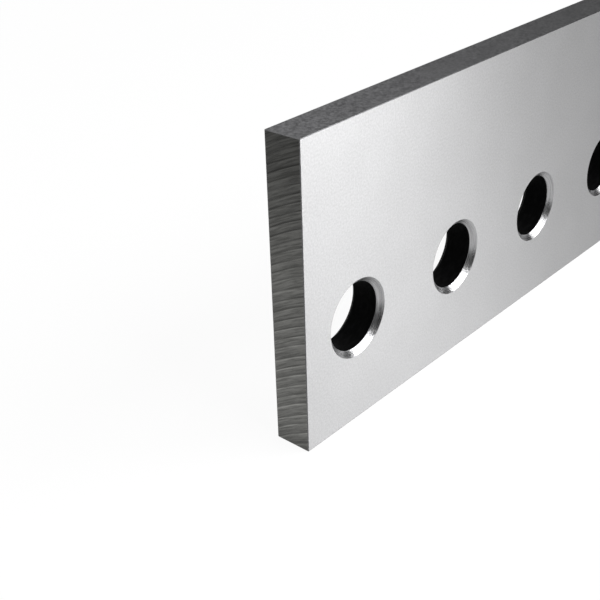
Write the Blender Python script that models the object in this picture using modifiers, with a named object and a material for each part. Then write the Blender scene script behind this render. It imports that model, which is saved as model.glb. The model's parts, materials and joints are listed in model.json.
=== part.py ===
"""Moulder knife bar: one ground tool-steel bar with a row of countersunk bolt holes.

The bar stands on its lower long edge. +X runs along the bar, -Y is the front face
and +Z is up. The origin is on the surface that the bar stands on, under its centre.
Lengths are in metres.
"""

import math

import bmesh
import bpy
from mathutils import Matrix

# Driving dimensions of the bar
BAR_LENGTH = 0.330
BAR_HEIGHT = 0.064
BAR_THICKNESS = 0.008
EDGE_BREAK = 0.00015

# Driving dimensions of the hole row
HOLE_COUNT = 10
END_MARGIN = 0.0155
HOLE_ROW_HEIGHT = 0.023
BORE_DIAMETER = 0.0143
COUNTERSINK_WIDTH = 0.00115

# How finely the round stretches are faceted
HOLE_SEGMENTS = 72
EDGE_SEGMENTS = 2
SHARP_EDGE = math.radians(25)

# How far each cutter stands proud of the faces that it cuts
CUTTER_OVERRUN = 0.001

# Finish of the ground steel
STEEL_COLOUR = (0.62, 0.62, 0.63, 1.0)
STEEL_ROUGHNESS = 0.3
STEEL_METALLIC = 1.0


def clear_scene():
    """Removes every object, so that the part can be built again in the same file."""
    for old in list(bpy.data.objects):
        bpy.data.objects.remove(old, do_unlink=True)


def new_collection(name):
    """An empty collection of this name, linked to the scene."""
    old = bpy.data.collections.get(name)
    if old:
        bpy.data.collections.remove(old)
    collection = bpy.data.collections.new(name)
    bpy.context.scene.collection.children.link(collection)
    return collection


def ground_steel():
    """Bare ground tool steel."""
    material = bpy.data.materials.new("ground_steel")
    material.use_nodes = True
    shader = material.node_tree.nodes["Principled BSDF"]
    shader.inputs["Base Color"].default_value = STEEL_COLOUR
    shader.inputs["Metallic"].default_value = STEEL_METALLIC
    shader.inputs["Roughness"].default_value = STEEL_ROUGHNESS
    material.diffuse_color = STEEL_COLOUR
    return material


def bar_blank(collection):
    """The bar before drilling: a rectangular section with each outer arris broken by a stone."""
    mesh = bpy.data.meshes.new("knife_bar")
    size = Matrix.Diagonal((BAR_LENGTH, BAR_THICKNESS, BAR_HEIGHT, 1.0))
    shape = bmesh.new()
    bmesh.ops.create_cube(shape, size=1.0, matrix=size)
    shape.to_mesh(mesh)
    shape.free()

    bar = bpy.data.objects.new("knife_bar", mesh)
    bar.location = (0.0, 0.0, BAR_HEIGHT / 2)
    collection.objects.link(bar)

    arris = bar.modifiers.new("broken_arris", "BEVEL")
    arris.width = EDGE_BREAK
    arris.segments = EDGE_SEGMENTS
    arris.limit_method = "ANGLE"
    return bar


def cutter_profile():
    """Half section of a hole from its axis out, top to bottom: radius and height along the axis.

    Each mouth flares at 45 degrees from the bore, and goes on at that angle past the face.
    """
    bore = BORE_DIAMETER / 2
    flare_start = BAR_THICKNESS / 2 - COUNTERSINK_WIDTH
    end = BAR_THICKNESS / 2 + CUTTER_OVERRUN
    mouth = bore + (end - flare_start)
    return [(0.0, end), (mouth, end), (bore, flare_start),
            (bore, -flare_start), (mouth, -end), (0.0, -end)]


def turned_cutter(name, collection):
    """The shape that one hole removes, turned from its half section about the hole's axis."""
    profile = cutter_profile()
    mesh = bpy.data.meshes.new(name)
    points = [(radius, 0.0, height) for radius, height in profile]
    edges = [(i, i + 1) for i in range(len(profile) - 1)]
    mesh.from_pydata(points, edges, [])

    cutter = bpy.data.objects.new(name, mesh)
    cutter.hide_render = True
    cutter.display_type = "WIRE"
    collection.objects.link(cutter)

    turning = cutter.modifiers.new("turning", "SCREW")
    turning.axis = "Z"
    turning.angle = math.tau
    turning.steps = HOLE_SEGMENTS
    turning.render_steps = HOLE_SEGMENTS
    turning.use_merge_vertices = True
    turning.merge_threshold = 0.00001
    return cutter


def hole_centres():
    """X of each hole, evenly pitched between the two end holes."""
    first = -BAR_LENGTH / 2 + END_MARGIN
    pitch = (BAR_LENGTH - 2 * END_MARGIN) / max(HOLE_COUNT - 1, 1)
    return [first + pitch * number for number in range(HOLE_COUNT)]


def drill_holes(bar, collection):
    """Cuts the row of holes through the bar, from its front face to its back."""
    for number, centre in enumerate(hole_centres(), start=1):
        cutter = turned_cutter(f"hole_cutter_{number}", collection)
        cutter.location = (centre, 0.0, HOLE_ROW_HEIGHT)
        cutter.rotation_euler = (math.radians(90), 0.0, 0.0)
    drilling = bar.modifiers.new("drilling", "BOOLEAN")
    drilling.operation = "DIFFERENCE"
    drilling.solver = "EXACT"
    drilling.operand_type = "COLLECTION"
    drilling.collection = collection


def settle_mesh(part):
    """Turns the modifiers into the part's own mesh, shaded round in the holes and crisp at the edges."""
    bpy.context.view_layer.update()
    evaluated = part.evaluated_get(bpy.context.evaluated_depsgraph_get())
    mesh = bpy.data.meshes.new_from_object(evaluated)
    part.modifiers.clear()
    part.data = mesh
    mesh.shade_smooth()
    mesh.set_sharp_from_angle(angle=SHARP_EDGE)


def main():
    clear_scene()
    parts = new_collection("moulder_knife")
    cutters = new_collection("moulder_knife_cutters")
    bar = bar_blank(parts)
    drill_holes(bar, cutters)
    settle_mesh(bar)
    bar.data.materials.clear()
    bar.data.materials.append(ground_steel())


main()
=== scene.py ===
"""Dresses a moulder knife bar for rendering: one bar of tool steel, ground on its faces, sawn at its ends,
drilled and countersunk, on a plain pale stage.

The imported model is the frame. The box of the bar and the centres of its bolt holes come from it. Lengths
are in metres: +X runs along the bar, -Y is its front face and +Z is up.
"""

import json
import math

import bmesh
import bpy
from bpy.props import FloatProperty, FloatVectorProperty, IntProperty, PointerProperty
from mathutils import Matrix, Vector, noise
from mathutils.geometry import delaunay_2d_cdt


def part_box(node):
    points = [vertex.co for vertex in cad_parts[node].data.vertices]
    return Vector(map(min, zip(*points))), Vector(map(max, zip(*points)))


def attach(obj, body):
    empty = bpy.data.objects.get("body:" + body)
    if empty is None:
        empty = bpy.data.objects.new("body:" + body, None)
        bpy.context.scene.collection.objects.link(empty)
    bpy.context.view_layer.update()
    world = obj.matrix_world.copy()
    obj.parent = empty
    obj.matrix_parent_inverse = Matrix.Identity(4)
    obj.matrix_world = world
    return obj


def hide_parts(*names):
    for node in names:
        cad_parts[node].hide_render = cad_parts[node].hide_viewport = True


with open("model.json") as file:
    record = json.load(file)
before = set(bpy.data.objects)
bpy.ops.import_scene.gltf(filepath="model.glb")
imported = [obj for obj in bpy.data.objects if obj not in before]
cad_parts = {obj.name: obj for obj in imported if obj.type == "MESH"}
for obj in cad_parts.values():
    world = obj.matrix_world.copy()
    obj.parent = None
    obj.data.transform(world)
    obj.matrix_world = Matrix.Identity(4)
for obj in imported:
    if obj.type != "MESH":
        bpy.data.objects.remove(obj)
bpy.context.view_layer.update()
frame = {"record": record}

bl_info = {
    "name": "Moulder Knife Bar",
    "version": (1, 0, 0),
    "blender": (4, 5, 0),
    "location": "3D View > Sidebar > Knife Bar",
    "description": "Builds a ground and drilled steel knife bar, its finishes and a plain studio",
    "category": "Object",
}

ALONG_BAR = (1.0, 0.0, 0.0)
HOLE_AXIS = (0.0, 1.0, 0.0)
BAR_NODE = "knife_bar"

# Places of the finishes in the bar's material slots
GROUND, EDGE, SAWN, HONED, COUNTERSUNK, DRILLED = range(6)

# Names of the values on the mesh's vertices. The materials read them, apart from the last one.
SAW_DEPTH = "saw_depth"
ACROSS_SAW = "across_saw"
SAW_STROKES = "saw_strokes"
FROM_HOLE = "from_hole"
EXACT_NORMAL = "exact_normal"


# Sizes and colours that a user would change


class KnifeBarSizes(bpy.types.PropertyGroup):
    """Sizes of the bar that its box in the frame doesn't give."""

    bore_diameter: FloatProperty(
        name="Bore Diameter",
        description="Diameter of each bolt hole between its two countersinks",
        default=0.0143,
        min=0.004,
        unit="LENGTH",
        precision=5,
    )
    countersink_width: FloatProperty(
        name="Countersink Width",
        description="Width of each 45 degree countersink, seen square to the face",
        default=0.00115,
        min=0.0002,
        unit="LENGTH",
        precision=5,
    )
    arris_radius: FloatProperty(
        name="Arris Radius",
        description="Radius that a stone leaves on each outer edge of the bar",
        default=0.00015,
        min=0.00005,
        unit="LENGTH",
        precision=5,
    )
    rim_radius: FloatProperty(
        name="Rim Radius",
        description="Radius of the two edges of each countersink",
        default=0.0001,
        min=0.00001,
        unit="LENGTH",
        precision=5,
    )
    saw_mark_depth: FloatProperty(
        name="Saw Mark Depth",
        description="Depth of the deepest groove that the saw leaves on a bar end",
        default=0.00004,
        min=0.0,
        unit="LENGTH",
        precision=5,
    )
    saw_mark_pitch: FloatProperty(
        name="Saw Mark Pitch",
        description="Usual distance between two neighbouring grooves of the saw",
        default=0.00165,
        min=0.0005,
        unit="LENGTH",
        precision=5,
    )
    saw_radius: FloatProperty(
        name="Saw Radius",
        description="Radius of the arcs that the saw leaves on a bar end",
        default=0.075,
        min=0.02,
        unit="LENGTH",
        precision=4,
    )
    hole_segments: IntProperty(
        name="Hole Segments",
        description="Number of flat steps round each hole",
        default=160,
        min=24,
        max=256,
    )


class KnifeBarFinishes(bpy.types.PropertyGroup):
    """Colours of the steel, and how rough each finish is."""

    ground_colour: FloatVectorProperty(
        name="Ground Steel",
        description="Reflected colour of the surface-ground faces",
        default=(0.515, 0.515, 0.520),
        min=0.0,
        max=1.0,
        subtype="COLOR",
    )
    ground_glance: FloatProperty(
        name="Ground Glance",
        description="How much the ground faces shine where they are seen almost edge-on",
        default=0.38,
        min=0.0,
        max=1.0,
        subtype="FACTOR",
    )
    ground_roughness: FloatProperty(
        name="Ground Roughness",
        description="Roughness of the surface-ground faces",
        default=0.35,
        min=0.0,
        max=1.0,
        subtype="FACTOR",
    )
    ground_spread: FloatProperty(
        name="Ground Spread",
        description="How much more the ground faces spread light across their scratches than along them",
        default=0.95,
        min=0.0,
        max=1.0,
        subtype="FACTOR",
    )
    # Painted shade: the long edges are ground like the faces, and this far darker steel stands for the shade
    # on them; the arrises take it too.
    edge_shade_colour: FloatVectorProperty(
        name="Edge Steel",
        description="Steel of the two long edges, made far darker than the faces as painted shade",
        default=(0.126, 0.126, 0.129),
        min=0.0,
        max=1.0,
        subtype="COLOR",
    )
    edge_glance: FloatProperty(
        name="Edge Glance",
        description="How much the long edges shine where they are seen almost edge-on",
        default=0.373,
        min=0.0,
        max=1.0,
        subtype="FACTOR",
    )
    # Painted shade: the sawn ends get this dark steel for the shade on them, darkened further upwards and at
    # the foot.
    sawn_shade_colour: FloatVectorProperty(
        name="Sawn Steel",
        description="Reflected colour of the sawn ends at their lower edge",
        default=(0.125, 0.125, 0.119),
        min=0.0,
        max=1.0,
        subtype="COLOR",
    )
    sawn_fall: FloatProperty(
        name="Sawn Fall",
        description="Share of that colour that the sawn ends lose up to their upper edge",
        default=0.62,
        min=0.0,
        max=1.0,
        subtype="FACTOR",
    )
    sawn_roughness: FloatProperty(
        name="Sawn Roughness",
        description="Roughness of the sawn ends",
        default=0.30,
        min=0.0,
        max=1.0,
        subtype="FACTOR",
    )
    turned_colour: FloatVectorProperty(
        name="Turned Steel",
        description="Reflected colour of the countersinks",
        default=(0.335, 0.335, 0.34),
        min=0.0,
        max=1.0,
        subtype="COLOR",
    )
    turned_glance: FloatProperty(
        name="Turned Glance",
        description="How much the countersinks shine where they are seen almost edge-on",
        default=0.90,
        min=0.0,
        max=1.0,
        subtype="FACTOR",
    )
    turned_roughness: FloatProperty(
        name="Turned Roughness",
        description="Roughness of the countersinks",
        default=0.28,
        min=0.0,
        max=1.0,
        subtype="FACTOR",
    )
    turned_spread: FloatProperty(
        name="Turned Spread",
        description="How much more the countersinks spread light across their rings than along them",
        default=0.8,
        min=0.0,
        max=1.0,
        subtype="FACTOR",
    )
    # Painted shade: the bores and the back countersinks are coloured near-black for the shade deep in the
    # holes.
    bore_shade_colour: FloatVectorProperty(
        name="Bore Shade",
        description="Near-black painted shade inside the bores and the back countersinks",
        default=(0.0022, 0.0022, 0.0023),
        min=0.0,
        max=1.0,
        subtype="COLOR",
    )


class KnifeBarStudio(bpy.types.PropertyGroup):
    """The stage, the lamps and the camera."""

    floor_colour: FloatVectorProperty(
        name="Floor",
        description="Colour of the floor and of the background behind it",
        default=(1.0, 1.0, 1.0),
        min=0.0,
        max=1.0,
        subtype="COLOR",
    )
    high_brightness: FloatProperty(
        name="High Lamp",
        description="Brightness of the wide soft lamp that hangs in front of the bar, where 1 is white",
        default=6.3,
        min=0.0,
    )
    side_brightness: FloatProperty(
        name="Side Lamp",
        description="Brightness of the narrow soft lamp to the right of the near end, where 1 is white",
        default=4.9,
        min=0.0,
    )
    back_brightness: FloatProperty(
        name="Back Lamp",
        description="Brightness of the soft lamp behind the bar, where 1 is white",
        default=2.2,
        min=0.0,
    )
    room_brightness: FloatProperty(
        name="Room Light",
        description="Strength of the even light that the room sheds on the floor and the bores",
        default=0.5,
        min=0.0,
    )
    shadow_share: FloatProperty(
        name="Floor Shadow",
        description="How much of the bar's shadow the floor keeps",
        default=0.08,
        min=0.0,
        max=1.0,
        subtype="FACTOR",
    )
    camera_place: FloatVectorProperty(
        name="Camera Place",
        description="Where the camera stands",
        default=(-0.28786, -0.11414, 0.1254),
        subtype="TRANSLATION",
        unit="LENGTH",
        precision=5,
    )
    camera_heading: FloatProperty(
        name="Camera Heading",
        description="Angle of the view from straight across the bar towards its far end",
        default=math.radians(47.866),
        subtype="ANGLE",
        unit="ROTATION",
    )
    camera_pitch: FloatProperty(
        name="Camera Pitch",
        description="Angle of the view below the horizon",
        default=math.radians(29.051),
        subtype="ANGLE",
        unit="ROTATION",
    )
    camera_roll: FloatProperty(
        name="Camera Roll",
        description="Turn of the camera about its line of sight",
        default=math.radians(-1.783),
        subtype="ANGLE",
        unit="ROTATION",
    )
    camera_lens: FloatProperty(
        name="Camera Lens",
        description="Focal length in millimetres, on a sensor 36 mm wide",
        default=63.479,
        min=10.0,
    )


# Node helpers


class NodeMaker:
    """Adds nodes to one tree, each with its inputs set to a value or linked from a socket."""

    def __init__(self, tree):
        self.tree = tree

    def put(self, socket, value):
        """Sets an input to a value, or links it from a socket."""
        if isinstance(value, bpy.types.NodeSocket):
            self.tree.links.new(value, socket)
        else:
            socket.default_value = value

    def add(self, kind, inputs=None, **settings):
        node = self.tree.nodes.new(kind)
        for name, value in settings.items():
            setattr(node, name, value)
        for name, value in (inputs or {}).items():
            self.put(node.inputs[name], value)
        return node

    def value(self, operation, *operands):
        """The result of a Math node."""
        inputs = dict(enumerate(operands))
        return self.add("ShaderNodeMath", inputs, operation=operation).outputs[0]

    def vector(self, operation, *operands):
        """The vector that a Vector Math node gives."""
        inputs = dict(enumerate(operands))
        return self.add("ShaderNodeVectorMath", inputs, operation=operation).outputs["Vector"]

    def number(self, operation, *operands):
        """The number that a Vector Math node gives, as a length or a dot product."""
        inputs = dict(enumerate(operands))
        return self.add("ShaderNodeVectorMath", inputs, operation=operation).outputs["Value"]

    def scale(self, vector, factor):
        """The vector times a number, which may come from a socket."""
        node = self.add("ShaderNodeVectorMath", {"Vector": vector, "Scale": factor}, operation="SCALE")
        return node.outputs["Vector"]

    def split(self, vector):
        """The three parts of a vector."""
        return self.add("ShaderNodeSeparateXYZ", {"Vector": vector}).outputs

    def join(self, x=0.0, y=0.0, z=0.0):
        return self.add("ShaderNodeCombineXYZ", {"X": x, "Y": y, "Z": z}).outputs["Vector"]

    def noise(self, vector, detail=2.0, roughness=0.5, scale=1.0):
        """A noise that runs from 0 to 1 and lies mostly near a half."""
        inputs = {"Vector": vector, "Scale": scale, "Detail": detail, "Roughness": roughness}
        return self.add("ShaderNodeTexNoise", inputs).outputs["Fac"]

    def ramp(self, value, low, high, to_low=0.0, to_high=1.0, kind="SMOOTHSTEP"):
        """The value carried from the span low to high onto the span to_low to to_high."""
        inputs = {
            "Value": value,
            "From Min": low,
            "From Max": high,
            "To Min": to_low,
            "To Max": to_high,
        }
        return self.add("ShaderNodeMapRange", inputs, interpolation_type=kind).outputs["Result"]

    def mix(self, factor, first, second, blend="MIX"):
        """Two colours mixed."""
        node = self.add("ShaderNodeMix", data_type="RGBA", blend_type=blend)
        sockets = {socket.identifier: socket for socket in node.inputs}
        for name, value in {"Factor_Float": factor, "A_Color": first, "B_Color": second}.items():
            self.put(sockets[name], value)
        return next(socket for socket in node.outputs if socket.identifier == "Result_Color")

    def attribute(self, name, output="Fac"):
        return self.add("ShaderNodeAttribute", attribute_name=name).outputs[output]

    def place(self):
        """The place on the surface, in metres from the object's origin."""
        return self.add("ShaderNodeTexCoord").outputs["Object"]

    def group(self, tree, **inputs):
        """A node that places a node group, with its inputs by name."""
        node = self.add("ShaderNodeGroup", node_tree=tree)
        for name, value in inputs.items():
            self.put(node.inputs[name.replace("_", " ").title()], value)
        return node.outputs


def new_group(name, inputs, outputs):
    """A node group with the named sockets, and its maker, inputs and outputs."""
    tree = bpy.data.node_groups.new(name, "ShaderNodeTree")
    for label, (kind, default) in inputs.items():
        socket = tree.interface.new_socket(label, in_out="INPUT", socket_type=kind)
        if default is not None:
            socket.default_value = default
    for label, kind in outputs.items():
        tree.interface.new_socket(label, in_out="OUTPUT", socket_type=kind)
    maker = NodeMaker(tree)
    return tree, maker, maker.add("NodeGroupInput").outputs, maker.add("NodeGroupOutput").inputs


def rgba(colour, share=1.0):
    """A colour property as a node's colour, made lighter or darker by a share."""
    return (colour[0] * share, colour[1] * share, colour[2] * share, 1.0)


# Effects that several finishes share


def fine_grain_group():
    """The fine mottle and the scratches that a grinding wheel or a tool leaves, in metres on the object."""
    inputs = {
        "Place": ("NodeSocketVector", None),
        "Mottle Width": ("NodeSocketFloat", 0.0004),
        "Scratch Width": ("NodeSocketFloat", 0.00012),
        "Scratch Stretch": ("NodeSocketVector", (0.04, 1.0, 1.0)),
    }
    outputs = {
        "Mottle": "NodeSocketFloat",
        "Scratches": "NodeSocketFloat",
        "Clouds": "NodeSocketFloat",
    }
    cloud_width = 0.009
    tree, nodes, given, result = new_group("fine grain", inputs, outputs)
    fine = nodes.value("DIVIDE", 1.0, given["Mottle Width"])
    thin = nodes.value("DIVIDE", 1.0, given["Scratch Width"])
    drawn_out = nodes.vector("MULTIPLY", given["Place"], given["Scratch Stretch"])
    mottle = nodes.noise(given["Place"], detail=2.0, roughness=0.6, scale=fine)
    scratches = nodes.noise(drawn_out, detail=3.0, roughness=0.65, scale=thin)
    clouds = nodes.noise(given["Place"], detail=2.0, roughness=0.5, scale=1.0 / cloud_width)
    nodes.put(result["Mottle"], mottle)
    nodes.put(result["Scratches"], scratches)
    nodes.put(result["Clouds"], clouds)
    return tree


def edge_wear_group(low, high):
    """Where handling has brightened the steel: a ragged band along the outer edges of the bar's box."""
    inputs = {
        "Place": ("NodeSocketVector", None),
        "Band Width": ("NodeSocketFloat", 0.0004),
    }
    nick_width = 0.0009
    middle = (low + high) / 2
    reach = (high - low) / 2
    tree, nodes, given, result = new_group("edge wear", inputs, {"Worn": "NodeSocketFloat"})
    from_middle = nodes.vector("SUBTRACT", given["Place"], tuple(middle))
    inward = nodes.vector("SUBTRACT", tuple(reach), nodes.vector("ABSOLUTE", from_middle))
    across, deep, tall = nodes.split(inward)
    # On a face one part is nought, so the middle one of the three is the distance to the nearest edge.
    least = nodes.value("MINIMUM", across, nodes.value("MINIMUM", deep, tall))
    most = nodes.value("MAXIMUM", across, nodes.value("MAXIMUM", deep, tall))
    total = nodes.value("ADD", across, nodes.value("ADD", deep, tall))
    distance = nodes.value("SUBTRACT", total, nodes.value("ADD", least, most))
    nicks = nodes.noise(given["Place"], detail=3.0, roughness=0.6, scale=1.0 / nick_width)
    raggedness = nodes.ramp(nicks, 0.35, 0.7, to_low=0.3, to_high=1.6)
    ragged = nodes.value("MULTIPLY", given["Band Width"], raggedness)
    share = nodes.value("DIVIDE", distance, ragged)
    nodes.put(result["Worn"], nodes.ramp(share, 0.0, 1.0, to_low=1.0, to_high=0.0))
    return tree


def turned_marks_group():
    """Tool marks about a hole's axis: rings across the profile, and chatter round it."""
    inputs = {
        "Offset": ("NodeSocketVector", None),
        "Place": ("NodeSocketVector", None),
        "Ring Width": ("NodeSocketFloat", 0.00025),
        "Chatter Waves": ("NodeSocketFloat", 30.0),
    }
    outputs = {"Rings": "NodeSocketFloat", "Chatter": "NodeSocketFloat"}
    # Each hole takes its own stretch of the noise, this many units of it for each metre along the bar.
    stretch = 170.0
    tree, nodes, given, result = new_group("turned marks", inputs, outputs)
    across, deep, tall = nodes.split(given["Offset"])
    flat = nodes.join(across, 0.0, tall)
    radius = nodes.number("LENGTH", flat)
    round_axis = nodes.vector("NORMALIZE", flat)
    hole_centre = nodes.vector("SUBTRACT", given["Place"], given["Offset"])
    hole_start = nodes.scale(hole_centre, stretch)
    along_profile = nodes.value("ADD", radius, nodes.value("ABSOLUTE", deep))
    ring_count = nodes.value("DIVIDE", along_profile, given["Ring Width"])
    ring_place = nodes.vector("ADD", hole_start, nodes.join(0.0, ring_count, 0.0))
    rings = nodes.noise(nodes.vector("ADD", ring_place, round_axis), detail=2.0, roughness=0.6)
    waves = nodes.scale(round_axis, nodes.value("DIVIDE", given["Chatter Waves"], math.tau))
    slow_count = nodes.value("MULTIPLY", ring_count, 0.5)
    chatter_place = nodes.vector("ADD", hole_start, nodes.join(0.0, slow_count, 0.0))
    chatter = nodes.noise(nodes.vector("ADD", chatter_place, waves), detail=2.0, roughness=0.6)
    nodes.put(result["Rings"], rings)
    nodes.put(result["Chatter"], chatter)
    return tree


# Finishes

# Spans of a noise, which lies mostly near a half, that a finish stretches from nought to one
WIDE = (0.2, 0.8)
HALF = (0.25, 0.75)
NARROW = (0.3, 0.7)


def new_finish(name):
    """An empty steel material, with its node maker and its Principled shader."""
    material = bpy.data.materials.new(name)
    material.use_nodes = True
    material.node_tree.nodes.clear()
    nodes = NodeMaker(material.node_tree)
    shader = nodes.add("ShaderNodeBsdfPrincipled", {"Metallic": 1.0})
    nodes.add("ShaderNodeOutputMaterial", {"Surface": shader.outputs["BSDF"]})
    return material, nodes, shader


def feed(nodes, shader, **inputs):
    """Links surface values into the shader's sockets, by name."""
    for name, value in inputs.items():
        nodes.put(shader.inputs[name.replace("_", " ").title()], value)


def two_tone(nodes, mask, span, steel, dark, light):
    """A steel made darker by one share and lighter by another, as a mask goes through its span."""
    return nodes.mix(nodes.ramp(mask, *span), rgba(steel, dark), rgba(steel, light))


def times(nodes, colour, share):
    """A colour times a number that changes over the surface."""
    return nodes.mix(1.0, colour, nodes.join(share, share, share), blend="MULTIPLY")


def rough_about(nodes, mask, span, middle, reach):
    """A roughness that runs from below its middle to above it, as a mask goes through its span."""
    return nodes.ramp(mask, *span, middle - reach, middle + reach)


def brightened(nodes, colour, worn, steel, share, light):
    """A colour with a share of lighter steel in it where the surface is worn."""
    return nodes.mix(nodes.value("MULTIPLY", worn, share), colour, rgba(steel, light))


def bump(nodes, height, distance, normal=None):
    """The normal of a surface that rises by the height times the distance, in metres."""
    inputs = {"Height": height, "Distance": distance, "Strength": 1.0}
    if normal is not None:
        inputs["Normal"] = normal
    return nodes.add("ShaderNodeBump", inputs).outputs["Normal"]


def spread_across(nodes, shader, scratch_direction, amount):
    """Spreads the shader's highlights across scratches that run in a direction along the surface."""
    face_normal = nodes.add("ShaderNodeNewGeometry").outputs["Normal"]
    feed(nodes, shader, tangent=nodes.vector("CROSS_PRODUCT", face_normal, scratch_direction))
    shader.inputs["Anisotropic"].default_value = amount


def set_glance(shader, amount):
    """Sets how much a metal shines where it is seen almost edge-on."""
    shader.inputs["Specular Tint"].default_value = rgba((amount, amount, amount))


def ground_finish(name, finishes, grain, wear, steel, glance, mottle_width, contrast):
    """Surface-ground steel: an even fine mottle, hair-fine scratches along the bar and faint clouds."""
    cloud_contrast = contrast / 7
    scratch_depth = 0.0000015
    mottle_depth = 0.000002
    material, nodes, shader = new_finish(name)
    set_glance(shader, glance)
    place = nodes.place()
    surface = nodes.group(grain, place=place, mottle_width=mottle_width, scratch_width=0.0001)
    worn = nodes.group(wear, place=place, band_width=0.0003)["Worn"]
    colour = two_tone(nodes, surface["Mottle"], HALF, steel, dark=1.0 - contrast, light=1.0 + contrast)
    clouds = nodes.ramp(surface["Clouds"], *NARROW, 1.0 - cloud_contrast, 1.0 + cloud_contrast)
    colour = times(nodes, colour, clouds)
    colour = brightened(nodes, colour, worn, steel, share=0.35, light=1.25)
    rough = rough_about(nodes, surface["Mottle"], WIDE, finishes.ground_roughness, reach=0.03)
    normal = bump(nodes, surface["Scratches"], scratch_depth)
    normal = bump(nodes, surface["Mottle"], mottle_depth, normal)
    spread_across(nodes, shader, ALONG_BAR, finishes.ground_spread)
    feed(nodes, shader, base_color=colour, roughness=rough, normal=normal)
    return material


def sawn_finish(finishes, grain, wear, height):
    """A sawn end: painted shade in the grooves with painted highlights on their lips, striations along the
    saw's arcs, and painted shade that deepens upwards.
    """
    striation_length = 0.005
    striation_width = 0.00035
    striation_depth = 0.000006
    mottle_depth = 0.000002
    steel = finishes.sawn_shade_colour
    material, nodes, shader = new_finish("painted_shade_sawn_end")
    place = nodes.place()
    surface = nodes.group(grain, place=place, mottle_width=0.00035, scratch_width=0.0001)
    worn = nodes.group(wear, place=place, band_width=0.00035)["Worn"]
    x, y, z = nodes.split(place)
    # The height on the end, from 0 at its foot to 1 at its top
    level = nodes.value("DIVIDE", z, height)

    # Striations, drawn out along the arcs
    along = nodes.value("DIVIDE", y, striation_length)
    over = nodes.value("DIVIDE", nodes.attribute(ACROSS_SAW), striation_width)
    striations = nodes.noise(nodes.join(x, along, over), detail=3.0, roughness=0.7)
    # The striations' light and dark tone is partly the steel's own and partly painted shade of their ridges.
    colour = two_tone(nodes, striations, NARROW, steel, dark=0.66, light=1.34)

    # From one groove up to the next the steel is painted lighter, as painted shade and highlight of the
    # groove's slope, up to a painted highlight close under the next one.
    within = nodes.value("FRACT", nodes.attribute(SAW_STROKES))
    band = nodes.ramp(within, 0.0, 0.9, to_low=0.84, to_high=1.10, kind="LINEAR")
    lip_starts = nodes.ramp(within, 0.78, 0.84)
    lip_ends = nodes.ramp(within, 0.90, 0.96, to_low=1.0, to_high=0.0)
    lip = nodes.value("MULTIPLY", lip_starts, lip_ends)
    lip_highlight_strength = nodes.ramp(level, 0.30, 0.65, to_low=0.50, to_high=0.10)
    colour = times(nodes, colour, nodes.value("MULTIPLY_ADD", lip, lip_highlight_strength, band))

    # Painted shade darkens the grooves, most of all in the upper part.
    cut = nodes.ramp(nodes.attribute(SAW_DEPTH), 0.1, 0.9)
    groove_shade_strength = nodes.ramp(level, 0.2, 0.7, to_low=0.6, to_high=0.95)
    painted_groove_shade = nodes.value("MULTIPLY", cut, groove_shade_strength)
    colour = nodes.mix(painted_groove_shade, colour, rgba(steel, 0.30))
    colour = brightened(nodes, colour, worn, steel, share=0.4, light=1.4)

    # Painted shade darkens the end along its foot, and deepens upwards, slowly at first and faster above the
    # middle.
    top_share = 1.0 - finishes.sawn_fall
    foot_shade = nodes.ramp(level, 0.0, 0.08, to_low=0.72, to_high=1.0)
    lower_half = nodes.ramp(level, 0.10, 0.45, to_low=1.0, to_high=0.90, kind="LINEAR")
    upper_half = nodes.ramp(level, 0.55, 1.0, to_low=1.0, to_high=top_share, kind="LINEAR")
    fall = nodes.value("MULTIPLY", lower_half, upper_half)
    colour = times(nodes, colour, nodes.value("MULTIPLY", foot_shade, fall))

    smoothest = finishes.sawn_roughness - 0.05
    roughest = finishes.sawn_roughness + 0.06
    rough = nodes.ramp(striations, *NARROW, smoothest, roughest)
    normal = bump(nodes, striations, striation_depth)
    normal = bump(nodes, surface["Mottle"], mottle_depth, normal)
    feed(nodes, shader, base_color=colour, roughness=rough, normal=normal)
    return material


def honed_finish(finishes, grain):
    """The arrises, broken with a fine stone: the painted-shade steel of the long edges, a little lighter."""
    scratch_depth = 0.000002
    material, nodes, shader = new_finish("painted_shade_honed_arris")
    set_glance(shader, finishes.edge_glance)
    surface = nodes.group(grain, place=nodes.place(), mottle_width=0.0006, scratch_width=0.00008)
    colour = two_tone(nodes, surface["Mottle"], NARROW, finishes.edge_shade_colour, dark=0.95, light=1.25)
    rough = rough_about(nodes, surface["Scratches"], NARROW, middle=0.36, reach=0.04)
    normal = bump(nodes, surface["Scratches"], scratch_depth)
    spread_across(nodes, shader, ALONG_BAR, finishes.ground_spread)
    feed(nodes, shader, base_color=colour, roughness=rough, normal=normal)
    return material


def countersunk_finish(finishes, grain, turned):
    """A countersink cut with a chattering tool: rings round it, and facets that catch the light."""
    ring_depth = 0.000008
    chatter_depth = 0.00005
    mottle_depth = 0.0000015
    material, nodes, shader = new_finish("turned_steel_countersink")
    set_glance(shader, finishes.turned_glance)
    place = nodes.place()
    offset = nodes.attribute(FROM_HOLE, "Vector")
    surface = nodes.group(grain, place=place, mottle_width=0.0003, scratch_width=0.0001)
    marks = nodes.group(turned, offset=offset, place=place, ring_width=0.00025, chatter_waves=110.0)
    colour = two_tone(nodes, marks["Rings"], NARROW, finishes.turned_colour, dark=0.80, light=1.20)
    rough = rough_about(nodes, marks["Rings"], NARROW, finishes.turned_roughness, reach=0.03)
    normal = bump(nodes, marks["Rings"], ring_depth)
    normal = bump(nodes, marks["Chatter"], chatter_depth, normal)
    normal = bump(nodes, surface["Mottle"], mottle_depth, normal)
    round_hole = nodes.vector("CROSS_PRODUCT", offset, HOLE_AXIS)
    spread_across(nodes, shader, round_hole, finishes.turned_spread)
    feed(nodes, shader, base_color=colour, roughness=rough, normal=normal)
    return material


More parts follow.
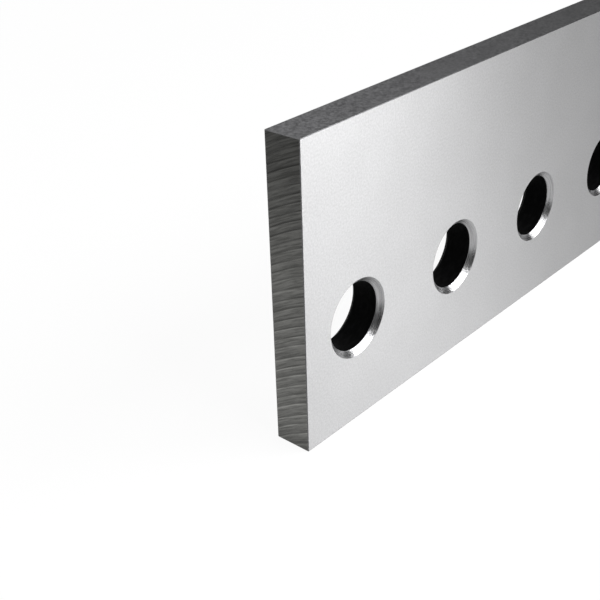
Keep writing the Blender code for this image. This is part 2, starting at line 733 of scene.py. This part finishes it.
def drilled_finish(finishes, grain, turned):
    """A drilled bore in painted shade: nearly black, with faint feed rings and rubbed patches."""
    rubbed = (0.4, 0.75)
    ring_depth = 0.00001
    mottle_depth = 0.000006
    material, nodes, shader = new_finish("painted_shade_bore")
    shader.inputs["Metallic"].default_value = 0.0
    shader.inputs["Specular IOR Level"].default_value = 0.015
    place = nodes.place()
    offset = nodes.attribute(FROM_HOLE, "Vector")
    surface = nodes.group(grain, place=place, mottle_width=0.0005, scratch_width=0.0001)
    marks = nodes.group(turned, offset=offset, place=place, ring_width=0.0003, chatter_waves=24.0)
    colour = two_tone(nodes, marks["Chatter"], rubbed, finishes.bore_shade_colour, dark=0.6, light=1.8)
    rough = rough_about(nodes, surface["Mottle"], NARROW, middle=0.65, reach=0.10)
    normal = bump(nodes, marks["Rings"], ring_depth)
    normal = bump(nodes, surface["Mottle"], mottle_depth, normal)
    feed(nodes, shader, base_color=colour, roughness=rough, normal=normal)
    return material


# The bar's mesh


def arris_offsets(radius, steps):
    """How far each line of an arris lies outside the flat, for even steps to the middle of the arris."""
    return [radius * math.tan(math.radians(45.0) * step / steps) for step in range(1, steps + 1)]


def grid_lines(low, high, radius, steps, count):
    """Grid lines from low to high: those of the arris at each end, with count spans of the flat between."""
    start = low + radius
    stop = high - radius
    outer = arris_offsets(radius, steps)
    flat = [start + (stop - start) * index / count for index in range(count + 1)]
    return [start - offset for offset in reversed(outer)] + flat + [stop + offset for offset in outer]


class SawMarks:
    """The grooves of a saw on the bar's ends, as a depth over each end."""

    # The step over which the slope is taken, and half the width of a groove
    STEP = 0.00005
    GROOVE_WIDTH = 0.00016
    # The pitch at the lower edge, and what it loses up to the upper edge, as shares of the usual pitch
    PITCH_AT_FOOT = 1.45
    PITCH_LOST = 0.50
    # How steeply the arcs lean at mid height, and how much more at the lower edge, in degrees
    LEAN = 27.5
    LEAN_AT_FOOT = 2.5
    # How far a groove wanders, as a share of the pitch, and the lengths of its waves upwards and rearwards
    WANDER = 0.22
    WANDER_WAVES = (0.003, 0.020)
    # The usual depth of a groove and how much it varies, as shares of the deepest
    USUAL_DEPTH = 0.72
    DEPTH_VARIES = 0.36
    # The length of those waves rearwards, and how far the next groove lies from this one in their noise
    DEPTH_WAVE = 0.012
    GROOVE_STEP = 0.77
    # The depth of the fine marks between the grooves, as a share of the deepest, and their waves
    FINE_DEPTH = 0.12
    FINE_WAVES = (0.0005, 0.008)
    # The level where the grooves begin and the span in which they deepen, as shares of the bar's height
    TOP = 0.96
    FADE = 0.03

    def __init__(self, sizes, bar_height):
        self.depth = sizes.saw_mark_depth
        self.pitch = sizes.saw_mark_pitch
        self.radius = sizes.saw_radius
        self.height = bar_height

    def across(self, y, z):
        """The place across the marks: it is the same all along one arc of the saw."""
        lean = math.radians(self.LEAN) + math.radians(self.LEAN_AT_FOOT) * (1.0 - 2.0 * z / self.height)
        blade_middle = self.radius * math.sin(lean)
        forward = -y
        rise = math.sqrt(self.radius**2 - (forward - blade_middle) ** 2)
        return z - rise + math.sqrt(self.radius**2 - blade_middle**2)

    def pitch_share(self, across):
        """The pitch at a place across the marks, as a share of the usual one."""
        return self.PITCH_AT_FOOT - self.PITCH_LOST * across / self.height

    def ripple(self, side, upwards, rearwards):
        """A smooth noise on one end, at a place that is counted in the noise's own waves."""
        end_seed = 4.7 * side + 11.3
        return noise.noise(Vector((upwards, rearwards, end_seed)))

    def strokes(self, side, y, z):
        """How many grooves lie below here, as a number with its fraction."""
        across = self.across(y, z)
        upwards, rearwards = self.WANDER_WAVES
        wander = self.WANDER * self.ripple(side, across / upwards, y / rearwards)
        narrowing = math.log(self.PITCH_AT_FOOT / self.pitch_share(across))
        return self.height / (self.PITCH_LOST * self.pitch) * narrowing + wander

    def share(self, side, y, z):
        """How deep the end is cut here, from 0 to 1."""
        across = self.across(y, z)
        count = self.strokes(side, y, z)
        nearest = round(count)
        away = (count - nearest) * (self.pitch * self.pitch_share(across))
        varied = self.ripple(side, nearest * self.GROOVE_STEP, y / self.DEPTH_WAVE)
        strength = self.USUAL_DEPTH + self.DEPTH_VARIES * varied
        groove = strength * math.exp(-((away / self.GROOVE_WIDTH) ** 2))
        upwards, rearwards = self.FINE_WAVES
        fine = self.FINE_DEPTH * (0.5 + self.ripple(side, across / upwards, y / rearwards))
        # The grooves begin a little below the upper edge, where the saw had settled into its cut.
        fade = min(1.0, max(0.0, (self.TOP * self.height - z) / (self.FADE * self.height)))
        return min(1.0, max(0.0, fade * groove + fine))

    def slope(self, side, y, z):
        """How the depth changes towards +Y and +Z, as metres in a metre."""
        here = self.share(side, y, z)
        to_rear = self.share(side, y + self.STEP, z) - here
        up = self.share(side, y, z + self.STEP) - here
        return Vector((0.0, to_rear, up)) * (self.depth / self.STEP)


class BarMesh:
    """Builds the bar as one closed mesh, with the true normal of each vertex."""

    # Steps in the rounding of an arris, from the flat to its middle, and of each edge of a countersink
    ARRIS_STEPS = 2
    RIM_STEPS = 3
    # Spans across and up an end, fine enough to carry the saw marks, and along the bar
    END_COLUMNS = 20
    END_ROWS = 560
    LONG_COLUMNS = 84
    # The distance between the points inside the front and back faces
    FLAT_SPACING = 0.004
    # How near two of those points may be before they are taken for one
    SAME_POINT = 1e-9
    # The kind of filling that leaves out every triangle beyond the outline
    INSIDE_OUTLINE = 1

    def __init__(self, low, high, hole_centres, sizes):
        self.low = low
        self.high = high
        self.hole_centres = hole_centres
        self.sizes = sizes
        self.marks = SawMarks(sizes, high.z - low.z)
        self.bm = bmesh.new()
        layers = self.bm.verts.layers
        self.normal = layers.float_vector.new(EXACT_NORMAL)
        self.depth = layers.float.new(SAW_DEPTH)
        self.across = layers.float.new(ACROSS_SAW)
        self.strokes = layers.float.new(SAW_STROKES)
        self.from_hole = layers.float_vector.new(FROM_HOLE)
        self.lattice = {}
        radius = sizes.arris_radius
        self.lines = (
            grid_lines(low.x, high.x, radius, self.ARRIS_STEPS, self.LONG_COLUMNS),
            grid_lines(low.y, high.y, radius, self.ARRIS_STEPS, self.END_COLUMNS),
            grid_lines(low.z, high.z, radius, self.ARRIS_STEPS, self.END_ROWS),
        )

    def outer_vertex(self, place):
        """The vertex at a place in the lattice, rounded where it lies on an arris."""
        if place in self.lattice:
            return self.lattice[place]
        point = Vector([lines[index] for lines, index in zip(self.lines, place)])
        radius = self.sizes.arris_radius
        inner = Vector([
            min(max(part, least + radius), most - radius)
            for part, least, most in zip(point, self.low, self.high)
        ])
        normal = (point - inner).normalized()
        point = inner + normal * radius
        side = math.copysign(1.0, normal.x)
        weight = normal.x**2
        share = 0.0
        if weight > 0.0:
            share = weight * self.marks.share(side, point.y, point.z)
            normal = (normal + weight * self.marks.slope(side, point.y, point.z)).normalized()
            point.x -= side * share * self.sizes.saw_mark_depth
        vertex = self.bm.verts.new(point)
        vertex[self.normal] = normal
        vertex[self.depth] = share
        vertex[self.across] = self.marks.across(point.y, point.z)
        vertex[self.strokes] = self.marks.strokes(side, point.y, point.z)
        self.lattice[place] = vertex
        return vertex

    def add_face(self, corners, finish):
        face = self.bm.faces.new(corners)
        face.material_index = finish
        face.smooth = True

    def add_side(self, axis, last):
        """One side of the lattice. The flats of the front and back are left open for their holes."""
        first_axis, second_axis = [other for other in range(3) if other != axis]
        steps = self.ARRIS_STEPS
        spans = [len(self.lines[other]) - 1 for other in (first_axis, second_axis)]
        level = len(self.lines[axis]) - 1 if last else 0
        for i in range(spans[0]):
            for j in range(spans[1]):
                on_flat = steps <= i < spans[0] - steps and steps <= j < spans[1] - steps
                if on_flat and axis == 1:
                    continue
                corners = []
                for di, dj in ((0, 0), (1, 0), (1, 1), (0, 1)):
                    place = [level] * 3
                    place[first_axis] = i + di
                    place[second_axis] = j + dj
                    corners.append(self.outer_vertex(tuple(place)))
                finish = HONED if not on_flat else (SAWN if axis == 0 else EDGE)
                self.add_face(corners, finish)

    def hole_profile(self):
        """A hole's outline from the front face down to its bore, as (radius, y, normal) steps."""
        bore = self.sizes.bore_diameter / 2
        width = self.sizes.countersink_width
        edge = self.sizes.rim_radius
        tangent = edge * math.tan(math.radians(45.0 / 2))
        front = self.low.y
        corners = (
            (bore + width + tangent, front + edge, 0.0, 45.0),
            (bore + edge, front + width + tangent, 45.0, 90.0),
        )
        steps = []
        for middle_radius, middle_y, start, stop in corners:
            for index in range(self.RIM_STEPS + 1):
                angle = math.radians(start + (stop - start) * index / self.RIM_STEPS)
                normal = (-math.sin(angle), -math.cos(angle))
                steps.append((middle_radius + edge * normal[0], middle_y + edge * normal[1], normal))
        return steps

    def add_hole(self, centre):
        """One hole through the bar. It returns its rim on the front face and on the back face."""
        half = self.hole_profile()
        middle_y = (self.low.y + self.high.y) / 2
        back = [(radius, 2 * middle_y - y, (normal[0], -normal[1])) for radius, y, normal in reversed(half)]
        profile = half + back
        count = self.sizes.hole_segments
        rings = []
        for radius, y, normal in profile:
            ring = []
            for index in range(count):
                angle = math.tau * index / count
                outward = Vector((math.cos(angle), 0.0, math.sin(angle)))
                offset = outward * radius
                offset.y = y
                vertex = self.bm.verts.new(Vector((centre.x, 0.0, centre.z)) + offset)
                vertex[self.normal] = outward * normal[0] + Vector((0.0, normal[1], 0.0))
                vertex[self.from_hole] = offset
                ring.append(vertex)
            rings.append(ring)
        bore_span = len(half) - 1
        for level, (upper, lower) in enumerate(zip(rings, rings[1:])):
            # The back countersinks, seen through the holes, take the bores' near-black painted shade.
            finish = DRILLED if level >= bore_span else COUNTERSUNK
            for index in range(count):
                after = (index + 1) % count
                self.add_face((upper[index], upper[after], lower[after], lower[index]), finish)
        return rings[0], rings[-1]

    def flat_outline(self, level):
        """The vertices round the flat of the front or the back face, in order."""
        steps = self.ARRIS_STEPS
        last_x = len(self.lines[0]) - 1 - steps
        last_z = len(self.lines[2]) - 1 - steps
        bottom = [(i, level, steps) for i in range(steps, last_x)]
        right = [(last_x, level, k) for k in range(steps, last_z)]
        top = [(i, level, last_z) for i in range(last_x, steps, -1)]
        left = [(steps, level, k) for k in range(last_z, steps, -1)]
        return [self.lattice[place] for place in bottom + right + top + left]

    def fill_flat(self, level, y, rims, normal):
        """Fills a face of the bar round its holes with even triangles."""
        loops = [self.flat_outline(level)] + rims
        vertices = [vertex for loop in loops for vertex in loop]
        edges = []
        start = 0
        for loop in loops:
            edges += [(start + index, start + (index + 1) % len(loop)) for index in range(len(loop))]
            start += len(loop)
        rim_radius = self.sizes.bore_diameter / 2 + self.sizes.countersink_width
        spacing = self.FLAT_SPACING
        columns = round((self.high.x - self.low.x) / spacing)
        rows = round((self.high.z - self.low.z) / spacing)
        for i in range(1, columns):
            for j in range(1, rows):
                # Every other row is set off by half a space.
                x = self.low.x + (self.high.x - self.low.x) * (i + 0.25 * (-1) ** j) / columns
                z = self.low.z + (self.high.z - self.low.z) * j / rows
                gap = min(math.hypot(x - centre.x, z - centre.z) for centre in self.hole_centres)
                if gap < rim_radius + spacing / 2:
                    continue
                vertex = self.bm.verts.new((x, y, z))
                vertex[self.normal] = normal
                vertices.append(vertex)
        rim_of = {vertex: number for number, rim in enumerate(rims) for vertex in rim}
        flat_points = [Vector((vertex.co.x, vertex.co.z)) for vertex in vertices]
        filling = delaunay_2d_cdt(flat_points, edges, [], self.INSIDE_OUTLINE, self.SAME_POINT)
        _, _, triangles, origins, _, _ = filling
        for triangle in triangles:
            corners = [vertices[origins[index][0]] for index in triangle]
            touched = {rim_of.get(corner) for corner in corners}
            inside_hole = len(touched) == 1 and None not in touched
            if not inside_hole:
                self.add_face(corners, GROUND)

    def build(self, name):
        """The finished mesh. It raises an error if the bar isn't closed."""
        for axis in range(3):
            for last in (False, True):
                self.add_side(axis, last)
        rims = [self.add_hole(centre) for centre in self.hole_centres]
        self.fill_flat(0, self.low.y, [front for front, _ in rims], Vector((0.0, -1.0, 0.0)))
        back_level = len(self.lines[1]) - 1
        self.fill_flat(back_level, self.high.y, [back for _, back in rims], Vector((0.0, 1.0, 0.0)))
        bmesh.ops.recalc_face_normals(self.bm, faces=self.bm.faces)
        open_edges = [edge for edge in self.bm.edges if not edge.is_manifold]
        if open_edges:
            raise RuntimeError(f"the bar's mesh has {len(open_edges)} open edges")
        mesh = bpy.data.meshes.new(name)
        self.bm.to_mesh(mesh)
        self.bm.free()
        normals = [tuple(item.vector) for item in mesh.attributes[EXACT_NORMAL].data]
        mesh.normals_split_custom_set_from_vertices(normals)
        mesh.attributes.remove(mesh.attributes[EXACT_NORMAL])
        return mesh


def hole_centres_of(record):
    """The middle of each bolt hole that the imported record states."""
    centres = []
    for opening in record["physics"]["openings"]:
        low, high = [Vector(corner) for corner in opening["box_m"]]
        centres.append((low + high) / 2)
    return centres


class KNIFE_OT_add_bar(bpy.types.Operator):
    """Build the knife bar with its ground, sawn, honed, turned and drilled finishes"""

    bl_idname = "knife.add_bar"
    bl_label = "Add Knife Bar"

    def execute(self, context):
        sizes = context.scene.knife_bar_sizes
        finishes = context.scene.knife_bar_finishes
        low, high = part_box(BAR_NODE)
        maker = BarMesh(low, high, hole_centres_of(frame["record"]), sizes)
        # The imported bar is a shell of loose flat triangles, so its holes and arrises can't be shaded round.
        bar = bpy.data.objects.new("moulder_knife_bar", maker.build("moulder_knife_bar"))
        context.scene.collection.objects.link(bar)
        grain = fine_grain_group()
        wear = edge_wear_group(low, high)
        turned = turned_marks_group()
        finished = {
            GROUND: ground_finish(
                "ground_steel_face",
                finishes,
                grain,
                wear,
                steel=finishes.ground_colour,
                glance=finishes.ground_glance,
                mottle_width=0.0004,
                contrast=0.095,
            ),
            # The long edges get the darker steel as painted shade.
            EDGE: ground_finish(
                "painted_shade_ground_edge",
                finishes,
                grain,
                wear,
                steel=finishes.edge_shade_colour,
                glance=finishes.edge_glance,
                mottle_width=0.0006,
                contrast=0.30,
            ),
            SAWN: sawn_finish(finishes, grain, wear, high.z),
            HONED: honed_finish(finishes, grain),
            COUNTERSUNK: countersunk_finish(finishes, grain, turned),
            DRILLED: drilled_finish(finishes, grain, turned),
        }
        for place in sorted(finished):
            bar.data.materials.append(finished[place])
        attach(bar, "root")
        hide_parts(BAR_NODE)
        return {"FINISHED"}


# The stage


# The side of the square floor
FLOOR_SIDE = 8.0
# The floor keeps the bar's shadow up to the first distance from the middle, and none beyond the second.
SHADOW_REACH = (0.25, 0.60)


def seen_as_background(nodes):
    """1 for what the camera sees straight, in metal or through glass, and 0 for the light on a surface."""
    path = nodes.add("ShaderNodeLightPath").outputs
    mirrored = nodes.value("MAXIMUM", path["Is Glossy Ray"], path["Is Transmission Ray"])
    return nodes.value("MAXIMUM", path["Is Camera Ray"], mirrored)


def floor_material(colour, shadow_share):
    """A pale floor that is white to the camera and in the metal, and keeps a faint shadow round the bar."""
    material = bpy.data.materials.new("studio_floor")
    material.use_nodes = True
    material.node_tree.nodes.clear()
    nodes = NodeMaker(material.node_tree)
    lit = nodes.add("ShaderNodeBsdfDiffuse", {"Color": rgba(colour)})
    white = nodes.add("ShaderNodeEmission", {"Color": rgba(colour), "Strength": 1.0})
    # Near the bar a share of the light that falls on the floor is kept, so its shadow shows there.
    distance = nodes.number("LENGTH", nodes.place())
    whiteness = nodes.ramp(distance, *SHADOW_REACH, 1.0 - shadow_share, 1.0)
    share = nodes.value("MULTIPLY", seen_as_background(nodes), whiteness)
    inputs = {0: share, 1: lit.outputs["BSDF"], 2: white.outputs["Emission"]}
    shader = nodes.add("ShaderNodeMixShader", inputs)
    nodes.add("ShaderNodeOutputMaterial", {"Surface": shader.outputs["Shader"]})
    return material


def add_floor(context, studio):
    bm = bmesh.new()
    bmesh.ops.create_grid(bm, x_segments=8, y_segments=8, size=FLOOR_SIDE / 2)
    mesh = bpy.data.meshes.new("studio_floor")
    bm.to_mesh(mesh)
    bm.free()
    mesh.materials.append(floor_material(studio.floor_colour, studio.shadow_share))
    floor = bpy.data.objects.new("studio_floor", mesh)
    context.scene.collection.objects.link(floor)


def towards(heading, height):
    """The direction at a heading from the front towards the far end and a height, both in degrees."""
    turn = math.radians(heading)
    lift = math.radians(height)
    return Vector((math.sin(turn) * math.cos(lift), -math.cos(turn) * math.cos(lift), math.sin(lift)))


def standing_card(foot, heading, distance, width, height):
    """The corners of an upright card that faces the foot of the bar from a heading and a distance."""
    away = towards(heading, 0.0)
    across = away.cross(Vector((0.0, 0.0, 1.0)))
    middle = foot + away * distance
    corners = []
    for side, level in ((-1, 0), (1, 0), (1, 1), (-1, 1)):
        corners.append(middle + across * (side * width / 2) + Vector((0.0, 0.0, level * height)))
    return corners


def lying_card(corner, length, near_width, far_width):
    """The corners of a lying card that runs forward from a corner and widens to the left."""
    forward = Vector((0.0, -length, 0.0))
    left = Vector((-1.0, 0.0, 0.0))
    return [corner, corner + forward, corner + forward + left * far_width, corner + left * near_width]


def add_dark_card(context, name, corners):
    """A black card beside the bar, which the steel shows and the camera doesn't."""
    black = 0.01
    roughness = 0.9
    bm = bmesh.new()
    bm.faces.new([bm.verts.new(corner) for corner in corners])
    mesh = bpy.data.meshes.new(name)
    bm.to_mesh(mesh)
    bm.free()
    material = bpy.data.materials.new(name)
    material.use_nodes = True
    shader = material.node_tree.nodes["Principled BSDF"]
    shader.inputs["Base Color"].default_value = rgba((black, black, black))
    shader.inputs["Roughness"].default_value = roughness
    mesh.materials.append(material)
    card = bpy.data.objects.new(name, mesh)
    card.visible_camera = False
    context.scene.collection.objects.link(card)
    return card


def add_world(context, studio):
    """The studio round the bar: white to the camera and in the metal, and an even light for the rest."""
    world = bpy.data.worlds.new("studio_room")
    world.use_nodes = True
    world.node_tree.nodes.clear()
    nodes = NodeMaker(world.node_tree)
    colour = rgba(studio.floor_colour)
    room = nodes.add("ShaderNodeBackground", {"Color": colour, "Strength": studio.room_brightness})
    white = nodes.add("ShaderNodeBackground", {"Color": colour, "Strength": 1.0})
    inputs = {0: seen_as_background(nodes), 1: room.outputs["Background"], 2: white.outputs["Background"]}
    shader = nodes.add("ShaderNodeMixShader", inputs)
    nodes.add("ShaderNodeOutputWorld", {"Surface": shader.outputs["Shader"]})
    context.scene.world = world


def add_softbox(context, name, target, heading, height, distance, span, brightness, turn=0.0):
    """A soft lamp at a heading, height and distance from a target, turned away from it by an angle.

    Its size is given as the two angles that it spans, seen from the target.
    """
    light = bpy.data.lights.new(name, "AREA")
    light.shape = "RECTANGLE"
    light.size, light.size_y = [2 * distance * math.tan(math.radians(angle) / 2) for angle in span]
    light.energy = brightness * math.pi * light.size * light.size_y
    lamp = bpy.data.objects.new(name, light)
    lamp.location = target + towards(heading, height) * distance
    lamp.rotation_euler = (-towards(heading + turn, height)).to_track_quat("-Z", "Y").to_euler()
    lamp.visible_camera = False
    context.scene.collection.objects.link(lamp)


def add_camera(context, studio):
    data = bpy.data.cameras.new("photo_camera")
    data.sensor_width = 36.0
    data.lens = studio.camera_lens
    data.clip_start = 0.005
    camera = bpy.data.objects.new("photo_camera", data)
    turn = Matrix.Rotation(-studio.camera_heading, 4, "Z")
    tilt = Matrix.Rotation(math.pi / 2 - studio.camera_pitch, 4, "X")
    roll = Matrix.Rotation(studio.camera_roll, 4, "Z")
    camera.matrix_world = Matrix.Translation(studio.camera_place) @ turn @ tilt @ roll
    context.scene.collection.objects.link(camera)
    context.scene.camera = camera


class KNIFE_OT_add_studio(bpy.types.Operator):
    """Build the pale stage, its soft lamps and the camera"""

    bl_idname = "knife.add_studio"
    bl_label = "Add Studio"

    def execute(self, context):
        studio = context.scene.knife_bar_studio
        add_floor(context, studio)
        add_world(context, studio)
        low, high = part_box(BAR_NODE)
        # The lamps and the standing cards are placed from the part of the bar that the photo shows.
        shown_share = 0.8
        near = Vector((low.x * shown_share, 0.0, high.z / 2))
        add_softbox(
            context,
            "side_softbox",
            near,
            heading=43.5,
            height=19.4,
            distance=0.63,
            span=(19.6, 30.3),
            brightness=studio.side_brightness,
            turn=44.7,
        )
        add_softbox(
            context,
            "high_softbox",
            near,
            heading=32.0,
            height=42.4,
            distance=0.60,
            span=(64.0, 25.5),
            brightness=studio.high_brightness,
            turn=-20.8,
        )
        add_softbox(
            context,
            "back_softbox",
            near,
            heading=195.0,
            height=16.0,
            distance=0.70,
            span=(30.4, 24.2),
            brightness=studio.back_brightness,
        )
        foot = Vector((near.x, 0.0, 0.0))
        left_side = standing_card(foot, heading=-41.0, distance=1.0, width=1.2, height=0.8)
        add_dark_card(context, "camera_side_card", left_side)
        right_side = standing_card(foot, heading=72.0, distance=1.0, width=0.78, height=0.50)
        add_dark_card(context, "right_card", right_side)
        # The lying card starts beside the near end, a little in front of it and just over the floor.
        corner = Vector((low.x - 0.010, -0.020, 0.001))
        on_floor = lying_card(corner, length=0.83, near_width=0.012, far_width=0.78)
        floor_card = add_dark_card(context, "floor_card", on_floor)
        # It dims neither the floor nor the light that the floor gives back.
        floor_card.visible_shadow = False
        floor_card.visible_diffuse = False
        add_camera(context, studio)
        context.scene.view_settings.view_transform = "Standard"
        return {"FINISHED"}


class KNIFE_PT_sidebar(bpy.types.Panel):
    """Sizes, finishes and studio of the knife bar"""

    bl_idname = "KNIFE_PT_sidebar"
    bl_label = "Knife Bar"
    bl_space_type = "VIEW_3D"
    bl_region_type = "UI"
    bl_category = "Knife Bar"

    def draw(self, context):
        scene = context.scene
        for title, group in (
            ("Sizes", scene.knife_bar_sizes),
            ("Finishes", scene.knife_bar_finishes),
            ("Studio", scene.knife_bar_studio),
        ):
            box = self.layout.box()
            box.label(text=title)
            for name in group.__annotations__:
                box.prop(group, name)
        self.layout.operator(KNIFE_OT_add_bar.bl_idname)
        self.layout.operator(KNIFE_OT_add_studio.bl_idname)


CLASSES = (
    KnifeBarSizes,
    KnifeBarFinishes,
    KnifeBarStudio,
    KNIFE_OT_add_bar,
    KNIFE_OT_add_studio,
    KNIFE_PT_sidebar,
)


def register():
    for cls in CLASSES:
        bpy.utils.register_class(cls)
    bpy.types.Scene.knife_bar_sizes = PointerProperty(type=KnifeBarSizes)
    bpy.types.Scene.knife_bar_finishes = PointerProperty(type=KnifeBarFinishes)
    bpy.types.Scene.knife_bar_studio = PointerProperty(type=KnifeBarStudio)


def unregister():
    del bpy.types.Scene.knife_bar_studio
    del bpy.types.Scene.knife_bar_finishes
    del bpy.types.Scene.knife_bar_sizes
    for cls in reversed(CLASSES):
        bpy.utils.unregister_class(cls)


def main():
    register()
    bpy.ops.knife.add_bar()
    bpy.ops.knife.add_studio()


if __name__ == "__main__":
    main()
